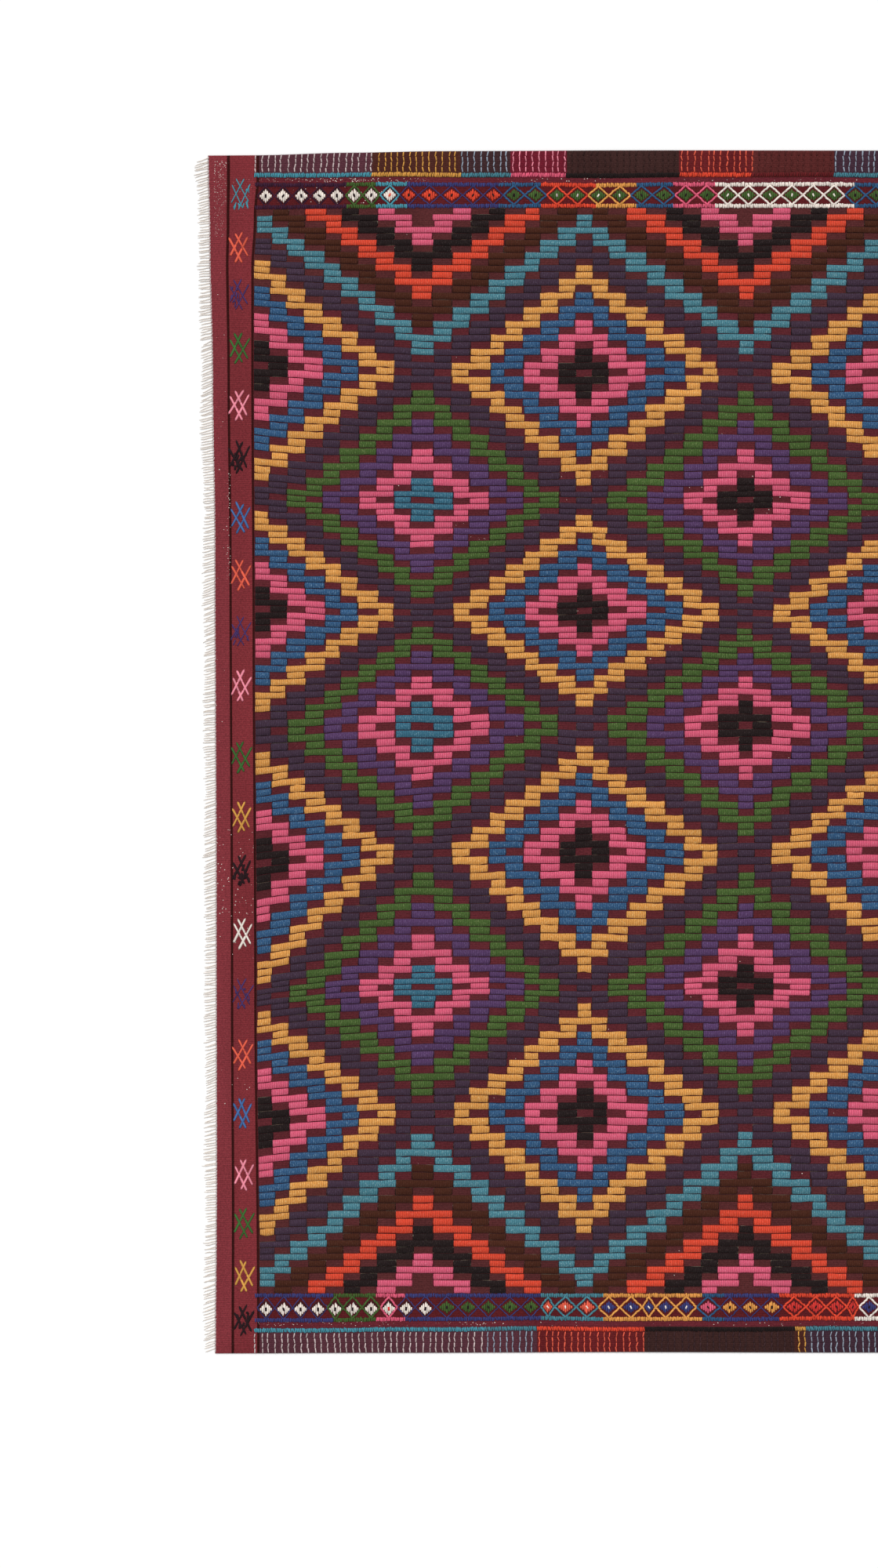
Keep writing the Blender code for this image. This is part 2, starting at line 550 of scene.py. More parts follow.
def strip_columns(side):
    """X of every block line in a stitched strip, pulled so that the dyes change on a line."""
    lines = np.arange(BLOCKS + 1)
    plain = along(lines, side * 0.83)
    marks = []
    for cycle in range(3):
        for row in STRIPS[side]:
            mark = row[0] + cycle * STRIP_CYCLE - HALF_FIELD
            if plain[1] < mark < plain[-2]:
                marks.append((int(np.argmin(np.abs(plain - mark))), mark))
    marks = dict([(0, plain[0]), *marks, (BLOCKS, plain[-1])])
    anchors = sorted(marks)
    return np.interp(lines, anchors, [marks[a] for a in anchors])


strip_x = {side: strip_columns(side) for side in (1, -1)}
print("strip section lines move by up to", round(float(np.abs(strip_x[1] - along(np.arange(BLOCKS + 1), 0.83)).max()), 4))

# %% The ground cloth's grid
column_lines = np.array([*BAND_LINES, *range(1, BLOCKS + 1), *(BLOCKS - np.array(BAND_LINES[-2::-1]))])
field_columns = range(len(BAND_LINES) - 1, len(BAND_LINES) + BLOCKS)
border_rows = ["edge", "rim_1", "rim_2", *BORDER_NAMES]
row_count = 2 * len(border_rows) + RIBS + 1


def border_row(name, side):
    """X and Y of the corners of the ground cloth along one line of a side border."""
    x = along(column_lines, side * 0.83)
    if name not in ("band_out",):
        x[list(field_columns)] = strip_x[side]
    if name.startswith("rim"):
        return x, border_y("edge", x, side) - side * RIM_STEPS[int(name[-1])]
    return x, border_y(name, x, side)


rows = [border_row(name, 1) for name in border_rows]
rows += [on_weave(column_lines, np.full(len(column_lines), float(rib))) for rib in range(RIBS + 1)]
rows += [border_row(name, -1) for name in reversed(border_rows)]
grid_x = np.array([row[0] for row in rows])
grid_y = np.array([row[1] for row in rows])
for column in range(len(BAND_LINES)):  # the ribs don't fan out past the field's end
    for end in (column, -1 - column):
        ease = 1.0 if column < len(BAND_LINES) - 1 else 0.0
        plain_y = np.interp(np.arange(RIBS + 1), rib_table[:, 0], rib_table[:, 1])
        inside = slice(len(border_rows), len(border_rows) + RIBS + 1)
        grid_y[inside, end] += ease * (plain_y - grid_y[inside, end]) * 0.5
print("ground grid", grid_x.shape, "field columns", len(field_columns))

# %% The ground cloth's heights
deep = np.minimum(np.arange(row_count), row_count - 1 - np.arange(row_count))
wide = np.minimum(np.arange(len(column_lines)), len(column_lines) - 1 - np.arange(len(column_lines)))
ring = np.minimum(deep[:, None], wide[None, :])
grid_z = np.full(grid_x.shape, GROUND)
grid_z += 0.00012 * np.sin(21 * grid_x + 5 * grid_y) * np.sin(17 * grid_y - 4 * grid_x)
for depth, height in RIM_HEIGHTS.items():
    grid_z[ring == depth] = height
print("ground height", round(float(grid_z.min()), 4), "to", round(float(grid_z.max()), 4))

# %% The ground cloth's dyes
under_share = 0.45  # how much of the brocade's dye shows on the underside


def ground_dyes():
    """The dye of each top face and of each face of the underside."""
    top = np.zeros((row_count - 1, len(column_lines) - 1, 3))
    under = np.zeros_like(top)
    first_rib = len(border_rows)
    first_block = len(BAND_LINES) - 1
    for j in range(row_count - 1):
        y = float(grid_y[j, 40] + grid_y[j + 1, 40]) / 2
        side = 1 if y > 0 else -1
        name = None
        if j < first_rib or j >= first_rib + RIBS:
            outward = j if side > 0 else row_count - 2 - j
            name = ["strip", "strip", "strip", "strip_cord", "gap", "wine"][min(outward, 5)]
        for i in range(len(column_lines) - 1):
            line = (column_lines[i] + column_lines[i + 1]) / 2
            from_end = min(line, BLOCKS - line)
            cloth = "field"
            dye = ""
            if from_end < 0:
                cloth = "plain_band" if from_end < -0.63 else "motif_band"
                cloth = "line" if -0.63 < from_end < -0.57 or from_end > -0.055 else cloth
            elif name is None:
                rib = j - first_rib
                dye = chart[rib][int(line)]
                outer = rib < FIRST_CENTRE - 8 or rib > LAST_CENTRE + 8
                cloth = "upper_field" if outer else "field"
            elif name.startswith("strip"):
                cloth = section(STRIPS[side], float(grid_x[j, i] + grid_x[j, i + 1]) / 2)[1]
            else:
                cloth = name
            top[j, i] = colour_of(cloth)
            under[j, i] = top[j, i]
            if dye:
                under[j, i] = (1 - under_share) * top[j, i] + under_share * np.array(colour_of(dye))
    return top, under


top_dyes, under_dyes = ground_dyes()
print("dyes of", top_dyes.shape[0] * top_dyes.shape[1], "faces chosen")


# %% The ground cloth
def build_ground():
    """The closed sheet of red cloth."""
    high, broad = grid_x.shape
    top = np.stack([grid_x, grid_y, grid_z], axis=-1).reshape(-1, 3)
    below = top.copy()
    below[:, 2] = 0.0
    number = np.arange(high * broad).reshape(high, broad)
    inner = ring > 0
    below_number = number.copy()
    below_number[inner] = high * broad + np.arange(int(inner.sum()))
    corners = np.concatenate([top, below[inner.ravel()]])
    up = np.stack([number[1:, :-1], number[1:, 1:], number[:-1, 1:], number[:-1, :-1]], axis=-1)
    down = np.stack(
        [below_number[:-1, :-1], below_number[:-1, 1:], below_number[1:, 1:], below_number[1:, :-1]],
        axis=-1,
    )
    loops = np.concatenate([up.reshape(-1), down.reshape(-1)])
    mesh = mesh_of("ground_cloth", corners, loops, np.full(len(loops) // 4, 4))
    mesh.shade_smooth()
    dyes = np.concatenate([top_dyes.reshape(-1, 3), under_dyes.reshape(-1, 3)])
    paint(mesh, "dye", np.repeat(dyes, 4, axis=0), "CORNER")
    return finish_piece("ground_cloth", mesh)


ground = build_ground()
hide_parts("kilim_cloth")

# %% [markdown]
# ## The brocade ribs
# The coloured yarn floats over the ground in ribs, each as long as one, two or three blocks. A rib is a
# low bolster with steep flanks. It starts as a grid that is drawn out, raised along its middle and
# closed underneath, once for each length, and the copies are bent onto the weave.


# %% One rib of each length
FLANK = 0.41  # where the crown of a rib ends, as a share of the pitch
SHOULDER = 0.78  # its height there


def model_rib(blocks):
    """A rib that lies over a number of blocks: x counts blocks, y counts pitches and z is 0 to 1."""
    fresh_start()
    columns = 2 * blocks + 2
    bpy.ops.mesh.primitive_grid_add(x_subdivisions=columns, y_subdivisions=4, size=1)
    piece = bpy.context.object
    select_where(piece, lambda p: True)
    bpy.ops.transform.resize(value=(columns, 1, 1), center_override=(0, 0, 0))
    bpy.ops.transform.translate(value=(columns / 2, 0, 0))
    stations = [0, 0.09, *[0.5 * k for k in range(1, 2 * blocks)], blocks - 0.09, blocks]
    for step, station in enumerate(stations):
        select_where(piece, lambda p, step=step: abs(p.x - step - 100 * (p.z > 9)) < 0.01)
        bpy.ops.transform.translate(value=(station - step, 0, 10))
    select_where(piece, lambda p: True)
    bpy.ops.transform.translate(value=(0, 0, -10))
    select_where(piece, lambda p: abs(abs(p.y) - 0.25) < 0.01)
    bpy.ops.transform.resize(value=(1, FLANK / 0.25, 1), center_override=(0, 0, 0))
    select_where(piece, lambda p: abs(p.y) < 0.01 and 0.01 < p.x < blocks - 0.01)
    bpy.ops.transform.translate(value=(0, 0, 1))
    select_where(piece, lambda p: abs(abs(p.y) - FLANK) < 0.01 and 0.01 < p.x < blocks - 0.01)
    bpy.ops.transform.translate(value=(0, 0, SHOULDER))
    bpy.ops.mesh.select_all(action="DESELECT")
    bpy.ops.mesh.select_non_manifold()
    bpy.ops.mesh.edge_face_add()
    return take_shape(piece)


def runs_of(row):
    """The stretches of one dye in a row of the chart, as (dye, first block, blocks)."""
    found = []
    start = 0
    for block in range(1, BLOCKS + 1):
        if block == BLOCKS or row[block] != row[start]:
            if row[start]:
                found.append((row[start], start, block - start))
            start = block
    return found


LONGEST = 4
ribs = {}
for rib, row in enumerate(chart):
    for dye, first, blocks in runs_of(row):
        while blocks:
            piece_blocks = min(blocks, LONGEST)
            ribs.setdefault((dye, piece_blocks), []).append((rib, first))
            first += piece_blocks
            blocks -= piece_blocks
rib_shapes = {blocks: model_rib(blocks) for blocks in sorted({key[1] for key in ribs})}
print({blocks: sum(len(v) for k, v in ribs.items() if k[1] == blocks) for blocks in rib_shapes})

# %% All the ribs
BASE = GROUND - 0.00025  # the foot of a rib is sunk a little in the cloth
OVERLAP = 0.03  # how far a rib runs past its blocks, in blocks
ROUGH_ENDS = 0.022  # chance in the place of each end, in blocks
ROUGH_SIDES = 0.025  # chance in the line of each flank, in pitches
RAGGED = {"yellow": 2.0, "teal": 1.5, "blue": 1.4, "green": 1.3}  # some yarns are beaten less evenly


def bend_ribs(shape, blocks, starts, ragged):
    """The corners of many ribs of one length, laid on the weave."""
    corners = shape[0]
    starts = np.array(starts, float)
    share = corners[None, :, 0] / blocks
    head = rng.normal(0, ROUGH_ENDS * ragged, (len(starts), 1)) - OVERLAP
    tail = rng.normal(0, ROUGH_ENDS * ragged, (len(starts), 1)) + OVERLAP
    line = starts[:, 1:] + corners[None, :, 0] + head * (1 - share) + tail * share
    rib = starts[:, :1] + 0.5 - corners[None, :, 1]
    flank = np.abs(np.abs(corners[:, 1]) - FLANK) < 0.01
    rib = rib + flank * rng.normal(0, ROUGH_SIDES * ragged, rib.shape)
    x, y = on_weave(np.clip(line, 0.02, BLOCKS - 0.02), rib)
    full = rng.normal(0.95, 0.02, (len(starts), 1))
    z = BASE + (CREST - BASE) * corners[None, :, 2] * np.clip(full, 0.86, 0.995)
    return np.stack([x, y, z], axis=-1)


rib_pieces = {}
for dye in used:
    batches = []
    for (name, blocks), starts in sorted(ribs.items()):
        if name != dye:
            continue
        shape = rib_shapes[blocks]
        places = bend_ribs(shape, blocks, starts, RAGGED.get(dye, 1.0))
        tones = rng.normal(0.0, 1.0, len(starts))
        batches.append(batch(shape, places, colour_of(dye), tones))
    rib_pieces[dye] = lay(f"ribs_{dye}", batches)

# %% [markdown]
# ## The single float
# The borders are worked with short single floats of yarn. One float is a small spindle: a
# ball with few sides, drawn out and pressed flat underneath. It is used for the cords, the rails, the
# border lozenges, the stitched lines and the motifs of the end bands.


# %% One float
def model_float():
    """A spindle one long and one wide that lies along x, from z 0 to 1."""
    fresh_start()
    bpy.ops.mesh.primitive_uv_sphere_add(
        segments=6, ring_count=3, radius=0.5, rotation=(0, math.pi / 2, 0)
    )
    piece = bpy.context.object
    bpy.ops.object.transform_apply(rotation=True)
    select_where(piece, lambda p: abs(p.x) < 0.4)
    bpy.ops.transform.resize(value=(1.45, 1.1, 1.1), center_override=(0, 0, 0))
    select_where(piece, lambda p: p.z < -0.01)
    bpy.ops.transform.resize(value=(1, 1, 0.3), center_override=(0, 0, 0))
    bpy.ops.object.mode_set(mode="OBJECT")
    lowest = min(corner.co.z for corner in piece.data.vertices)
    highest = max(corner.co.z for corner in piece.data.vertices)
    select_where(piece, lambda p: True)
    bpy.ops.transform.translate(value=(0, 0, -lowest))
    bpy.ops.transform.resize(value=(1, 1, 1 / (highest - lowest)), center_override=(0, 0, 0))
    return take_shape(piece)


def set_down(shape, x, y, turn, length, width, low, high):
    """The corners of many copies of a flat-lying shape, each turned, stretched and put in place."""
    given = np.broadcast_arrays(*[np.asarray(v, float) for v in (x, y, turn, length, width, low, high)])
    x, y, turn, length, width, low, high = [v.reshape(-1, 1) for v in given]
    u = shape[0][None, :, 0] * length
    v = shape[0][None, :, 1] * width
    places = np.empty((len(x), len(shape[0]), 3))
    places[..., 0] = x + u * np.cos(turn) - v * np.sin(turn)
    places[..., 1] = y + u * np.sin(turn) + v * np.cos(turn)
    places[..., 2] = low + (high - low) * shape[0][None, :, 2]
    return places


def chance(count, spread):
    """A little chance for each of a number of copies."""
    return rng.normal(0, spread, count)


float_shape = model_float()
print("a float has", len(float_shape[0]), "corners and spans", np.ptp(float_shape[0], axis=0).round(2))

# %% [markdown]
# ## The side borders
# Each long edge has a strip of plain cloth crossed by twisted stitches, then a thick cord of packed
# slanting floats, then a band of small lozenges between two rails. The dyes change along
# the border wherever a hank ran out, which the tables of sections hold.

# %% The stitched strips and the cords
STITCH_PITCH = 0.00915
STITCHES = 4  # in one line across the strip
CORD_PITCH = 0.0026
LOW = GROUND - 0.0004  # the foot of every float


def strip_stitches(side):
    """Twisted lines of stitches across a strip."""
    x = np.arange(-HALF_FIELD + 0.0015, HALF_FIELD - 0.001, STITCH_PITCH)
    x = x + chance(len(x), 0.0007)
    lean = np.interp(x, *zip(*[(-1.2, 0.0), (-1.05, 0.0025), (-0.9, -0.0005), (-0.4, 0.001), (1.2, 0.0)]))
    places, dyes, tones = [], [], []
    edge = np.abs(border_y("edge", x, side))
    inner = np.abs(border_y("cord_out", x, side))
    for k in range(STITCHES):
        share = (k + 0.5) / STITCHES
        y = edge + (inner - edge) * share + chance(len(x), 0.0003)
        slant = 0.13 * (1 if k % 2 else -1) + chance(len(x), 0.09)
        shift = lean * (1 - share) + chance(len(x), 0.0003)
        length = (edge - inner) / STITCHES * 1.04 + chance(len(x), 0.0004)
        turn = side * (math.pi / 2 + slant)
        high = 0.0034 + chance(len(x), 0.00008)
        y = np.minimum(y, edge - length / 2 - 0.0002)
        width = 0.0020 + chance(len(x), 0.0002)
        places.append(set_down(float_shape, x + shift, side * y, turn, length, width, LOW, high))
        dyes += [colour_of(section(STRIPS[side], v)[2]) for v in x]
        tones.append(chance(len(x), 1.0))
    return batch(float_shape, np.concatenate(places), dyes, np.concatenate(tones))


def cord_floats(side):
    """Packed slanting floats that make the thick cord."""
    x = np.arange(-HALF_FIELD + 0.001, HALF_FIELD - 0.001, CORD_PITCH)
    x = x + chance(len(x), 0.0002)
    outer, inner = np.abs(border_y("cord_out", x, side)), np.abs(border_y("cord_in", x, side))
    y = (outer + inner) / 2 + chance(len(x), 0.00025)
    length = (outer - inner) * 0.92 + chance(len(x), 0.0005)
    turn = side * (math.pi / 2 - 0.22) + chance(len(x), 0.10)
    high = CREST - 0.0002 + chance(len(x), 0.00008)
    places = set_down(float_shape, x, side * y, turn, length, 0.0027, LOW, np.minimum(high, CREST))
    dyes = [colour_of(section(STRIPS[side], v)[3]) for v in x]
    return batch(float_shape, places, dyes, chance(len(x), 1.0))


stitches = lay("strip_stitches", [strip_stitches(1), strip_stitches(-1)])
cords = lay("border_cords", [cord_floats(1), cord_floats(-1)])

# %% [markdown]
# ## The bands of small lozenges
# Near the start the lozenges are small and white on a dark band. After that a zigzag frame holds a
# larger lozenge of another dye with a small eye. Every part of them is a float: slanting ones for the
# frame, upright ones that grow and shrink for the lozenge, and a row of upright ones for each rail.

# %% The sections of the lozenge bands
LOZENGES = {  # side: (until, frame, lozenge, eye), in metres from the start of the field
    1: [
        (0.130, "aubergine", "white", "ink"),
        (0.173, "green", "white", "ink"),
        (0.216, "lake", "white", "coral"),
        (0.346, "indigo", "orange", "ink"),
        (0.407, "blue", "green", "ink"),
        (0.484, "orange", "green", "pale"),
        (0.541, "yellow", "green", "white"),
        (0.593, "blue", "green", "ink"),
        (0.653, "pink", "green", "ink"),
        (0.851, "white", "green", "white"),
        (0.960, "blue", "green", "ink"),
    ],
    -1: [
        (0.112, "indigo", "white", "ink"),
        (0.171, "green", "white", "ink"),
        (0.213, "pink", "white", "red"),
        (0.262, "indigo", "white", "ink"),
        (0.406, "indigo", "green", "ink"),
        (0.495, "teal", "coral", "white"),
        (0.634, "yellow", "indigo", "white"),
        (0.667, "blue", "pink", "ink"),
        (0.745, "indigo", "yellow", "ink"),
        (0.851, "orange", "red", "ink"),
        (0.960, "white", "indigo", "ink"),
    ],
}
SMALL_PITCH, LARGE_PITCH = 0.0250, 0.0300
SMALL_UNTIL = 0.216
RAIL = 0.0058  # how broad a rail is


def lozenge_places(side):
    """The centre and the width of every lozenge of a band."""
    centres, widths = [], []
    x = -HALF_FIELD + 0.004
    while x < HALF_FIELD - 0.030:
        in_cycle = (x + HALF_FIELD) % STRIP_CYCLE
        small = in_cycle < SMALL_UNTIL
        width = (SMALL_PITCH if small else LARGE_PITCH) + rng.normal(0, 0.0012)
        if not small and rng.random() < 0.10:
            width *= 0.62
        centres.append(x + width / 2)
        widths.append(width)
        x += width
    return np.array(centres), np.array(widths)


def band_point(x, v, side):
    """Y of a place in a lozenge band; v is -1 at its inner line and +1 at its outer one."""
    inner, outer = border_y("band_in", x, side), border_y("band_out", x, side)
    return (inner + outer) / 2 + v * (outer - inner) / 2


# %% The rails and the frames of the lozenge bands
def rails(side):
    """Two rows of upright floats along a lozenge band."""
    batches = []
    for v in (-1, 1):
        x = np.arange(-HALF_FIELD + 0.002, HALF_FIELD - 0.001, CORD_PITCH)
        x = x + chance(len(x), 0.0002)
        half = np.abs(border_y("band_out", x, side) - border_y("band_in", x, side)) / 2
        y = band_point(x, v * (1 - RAIL / 2 / half), side) + chance(len(x), 0.0003)
        length = RAIL * 1.12 + chance(len(x), 0.0005)
        turn = math.pi / 2 + chance(len(x), 0.12)
        dyes = [section(LOZENGES[side], place) for place in x]
        faint = np.array([row[1] in ("aubergine", "indigo", "green") for row in dyes])
        high = 0.0034 - 0.0003 * faint + chance(len(x), 0.0001)
        places = set_down(float_shape, x, y, turn, length, 0.0029, LOW, high)
        batches.append(batch(float_shape, places, [colour_of(r[1]) for r in dyes], chance(len(x), 1)))
    return batches


def frames(side):
    """Slanting floats that cross between the lozenges and meet the rails above and below them."""
    centres, widths = lozenge_spots[side]
    steps = 4
    batches = []
    for left, up in ((1, 1), (1, -1), (-1, 1), (-1, -1)):
        for k in range(steps):
            share = (k + 0.5) / steps
            x = centres + left * widths / 2 * (1 - share) + chance(len(centres), 0.0003)
            half = np.abs(border_y("band_out", x, side) - border_y("band_in", x, side)) / 2
            reach = half - RAIL * 0.8
            y = band_point(x, up * share * reach / half, side)
            rise, run = up * side * reach, -left * widths / 2
            turn = np.arctan2(rise, run) + chance(len(x), 0.12)
            length = np.hypot(rise, run) / steps * 1.35
            dyes = [section(LOZENGES[side], place)[1] for place in centres]
            thin = np.array([dye in ("aubergine", "indigo") for dye in dyes])
            width = 0.0032 - 0.0014 * thin
            high = 0.0035 - 0.0005 * thin + chance(len(x), 0.0001)
            places = set_down(float_shape, x, y, turn, length, width, LOW, high)
            batches.append(batch(float_shape, places, [colour_of(d) for d in dyes], chance(len(x), 1)))
    return batches


lozenge_spots = {side: lozenge_places(side) for side in (1, -1)}
band_rails = lay("lozenge_rails", rails(1) + rails(-1))
band_frames = lay("lozenge_frames", frames(1) + frames(-1))


# %% The lozenges themselves
def lozenge_floats(side):
    """Upright floats side by side, longest in the middle, with an eye and a dark outline."""
    centres, widths = lozenge_spots[side]
    x0, dyes, eyes, small = centres, [], [], []
    for place in centres:
        row = section(LOZENGES[side], place)
        dyes.append(colour_of(row[2]))
        eyes.append(colour_of(row[3]))
        small.append(row[2] == "white")
    small = np.array(small)
    wide = np.where(small, 0.0170, widths * 0.66)
    tall = np.where(small, 0.0180, 0.0160)
    centre_v = np.where((side < 0) & small, 0.10, 0.0)
    batches = []
    columns = 7
    for k in range(columns):
        u = (k - (columns - 1) / 2) / (columns / 2)
        x = x0 + u * wide / 2
        y = band_point(x, centre_v, side)
        length = tall * (1 - np.abs(u)) * 1.05 + 0.0024 + chance(len(x), 0.0006)
        width = wide / columns * 1.15
        turn = math.pi / 2 + chance(len(x), 0.06)
        high = 0.0033 + chance(len(x), 0.0001)
        places = set_down(float_shape, x, y, turn, length, width, LOW, high)
        batches.append(batch(float_shape, places, dyes, chance(len(x), 1)))
    y = band_point(x0, centre_v, side)
    tilt = math.pi / 2 + chance(len(x0), 0.3)
    eye_width = np.where(small, 0.0042, 0.0030)
    eye_length = np.where(small, 0.0068, 0.0058)
    eye = set_down(float_shape, x0, y, tilt, eye_length, eye_width, LOW, 0.0037)
    batches.append(batch(float_shape, eye, eyes, chance(len(x0), 1)))
    for left, up in ((1, 1), (1, -1), (-1, 1), (-1, -1)):
        x = (x0 + left * wide * 0.30)[small]
        y = band_point(x, centre_v[small], side) + up * 0.0065
        turn = np.arctan2(-up * left * tall[small], wide[small])
        line = set_down(float_shape, x, y, turn, 0.0135, 0.0014, LOW, 0.0030)
        batches.append(batch(float_shape, line, colour_of("ink"), chance(len(x), 1)))
    return batches


lozenges = lay("band_lozenges", lozenge_floats(1) + lozenge_floats(-1))

# %% [markdown]
# ## The motifs of the end bands
# Between the two dark lines of each end band stands a row of small crossed motifs, like two crossed
# pairs of sticks with an open lozenge in the middle. A weaver sews them with long stitches, one
# dye to each motif. Two or three of them are worked densely in a dark yarn and look blurred.

# %% The motifs
MOTIFS = [  # across, dye
    (0.791, "lake"),
    (0.716, "coral"),
    (0.649, "violet"),
    (0.573, "leaf"),
    (0.491, "rose"),
    (0.418, "ink"),
    (0.332, "sky"),
    (0.251, "coral"),
    (0.171, "violet"),
    (0.094, "rose"),
    (-0.007, "leaf"),
    (-0.092, "gold"),
    (-0.168, "ink"),
    (-0.257, "white"),
    (-0.343, "violet"),
    (-0.429, "coral"),
    (-0.512, "sky"),
    (-0.599, "rose"),
    (-0.668, "leaf"),
    (-0.743, "gold"),
    (-0.806, "ink"),
]
DENSE = ("violet", "ink", "lake")
STICKS = [  # the two ends of each long stitch, from the motif's centre, in millimetres
    ((-7, 22), (12, -16)),
    ((-14, 13), (5, -22)),
    ((14, 15), (-6, -23)),
    ((4, 22), (-14, -14)),
]
MOTIF_PLACE = 0.34  # how far along the end band the motifs stand, from the field


def motif_floats(end):
    """The stitches of all the motifs of one end band."""
    batches = []
    for place, dye in MOTIFS:
        dense = dye in DENSE
        middle_x = end * (end_x(place) - (1 - MOTIF_PLACE) * (end_x(place) - HALF_FIELD))
        middle_x = float(along(-MOTIF_PLACE, place)) if end < 0 else float(middle_x)
        starts, ends = [], []
        for a, b in STICKS:
            a, b = np.array(a, float), np.array(b, float)
            a, b = a + rng.normal(0, 1.0, 2), b + rng.normal(0, 1.0, 2)
            cut = a + (b - a) * rng.uniform(0.42, 0.58)
            starts += [a, cut - (b - a) * 0.05]
            ends += [cut + (b - a) * 0.05, b]
        if dense:
            for _ in range(10):
                a = rng.uniform((-11, -15), (11, 13))
                starts.append(a)
                ends.append(a + rng.normal((0, -7), (2.5, 2.0)))
        a, b = np.array(starts) / 1000, np.array(ends) / 1000
        x, y = middle_x - end * (a[:, 0] + b[:, 0]) / 2, place + (a[:, 1] + b[:, 1]) / 2
        turn = np.arctan2(b[:, 1] - a[:, 1], -end * (b[:, 0] - a[:, 0]))
        length = np.hypot(*(b - a).T)
        width = rng.uniform(0.0031, 0.0041, len(x)) * (0.6 if dense and dye != "ink" else 1.0)
        high = 0.0031 + chance(len(x), 0.00015)
        places = set_down(float_shape, x, y, turn, length, width, LOW, high)
        batches.append(batch(float_shape, places, colour_of(dye), chance(len(x), 1.0)))
    return batches


motifs = lay("end_motifs", motif_floats(-1) + motif_floats(1))

# %% [markdown]
# ## Warp ends, loops and fringe
# The pale warp shows in three places: as specks where the red weft has worn thin, as a row of tiny
# loops along each end, and as the fringe. The specks are small eight-sided grains. A fringe yarn
# is a thin tube, extruded from a pentagon and drawn in at its tip.

# %% The worn specks
SPECKS = [  # how many, then along from, along to, across from, across to, in metres
    (190, -1.2130, -1.1950, 0.730, 0.838),
    (60, -1.2140, -1.1950, -0.500, 0.700),
    (50, -1.1870, -1.1500, 0.755, 0.812),
    (50, -1.1950, -1.1895, 0.210, 0.400),
    (60, -1.2100, -1.1560, -0.240, -0.110),
    (36, -1.1900, -1.1560, -0.480, -0.250),
    (90, -1.1500, -0.9000, 0.8080, 0.8130),
    (60, -1.1500, -0.8000, -0.8135, -0.8080),
    (60, -1.1500, -0.9500, 0.776, 0.802),
    (60, -0.7500, -0.2700, 0.330, 0.410),
    (24, -0.8700, -0.8200, 0.290, 0.330),
    (420, -1.1500, 1.1500, -0.760, 0.760),
    (160, -1.1500, 1.1500, 0.8080, 0.8130),
    (160, -1.1500, 1.1500, -0.8135, -0.8080),
    (120, 1.1600, 1.2050, -0.800, 0.800),
]


def model_speck():
    """A small grain: a ball with four sides, pressed flat."""
    fresh_start()
    bpy.ops.mesh.primitive_uv_sphere_add(segments=4, ring_count=2, radius=0.5)
    piece = bpy.context.object
    select_where(piece, lambda p: p.z < -0.01)
    bpy.ops.transform.translate(value=(0, 0, 0.4))
    select_where(piece, lambda p: True)
    bpy.ops.transform.translate(value=(0, 0, 0.1))
    return take_shape(piece)


speck_shape = model_speck()
spots = np.concatenate([rng.uniform((a, c), (b, d), (count, 2)) for count, a, b, c, d in SPECKS])
sizes = rng.uniform(0.0008, 0.0019, len(spots))
low = np.full(len(spots), GROUND - 0.0003)
grains = set_down(
    speck_shape, spots[:, 0], spots[:, 1], 0.0, sizes * 1.3, sizes, low, GROUND + 0.0004
)
specks = lay("warp_specks", [batch(speck_shape, grains, colour_of("white"), chance(len(spots), 1))])

# %% The loops along the ends
LOOP_PITCH = 0.0049


def loop_row(end):
    """A scalloped line of small loops that lock the last weft."""
    y = np.arange(-HALF_WIDTH + 0.004, HALF_WIDTH - 0.009, LOOP_PITCH)
    y = y + chance(len(y), 0.0003)
    x = end * (end_x(y) - 0.0007) + chance(len(y), 0.0001)
    turn = math.pi / 2 + end * 0.10 + chance(len(y), 0.08)
    places = set_down(float_shape, x, y, turn, LOOP_PITCH * 1.18, 0.0019, 0.0006, 0.0027)
    return batch(float_shape, places, colour_of("pale"), chance(len(y), 1))


loops = lay("end_loops", [loop_row(-1), loop_row(1)])

# %% The fringe
YARN_PITCH = 0.0037
YARN_THICK = 0.0013
YARN_RINGS = 6


def model_yarn():
    """A straight tube one long with five sides and a narrow tip, centred on the x axis."""
    fresh_start()
    bpy.ops.mesh.primitive_circle_add(
        vertices=5, radius=0.5, fill_type="NGON", rotation=(0, math.pi / 2, 0)
    )
    piece = bpy.context.object
    bpy.ops.object.transform_apply(rotation=True)
    select_where(piece, lambda p: True)
    for _ in range(YARN_RINGS - 1):
        bpy.ops.mesh.extrude_region_move(
            TRANSFORM_OT_translate={"value": (1 / (YARN_RINGS - 1), 0, 0)}
        )
    bpy.ops.transform.resize(value=(1, 0.35, 0.35), center_override=(0, 0, 0))
    return take_shape(piece)


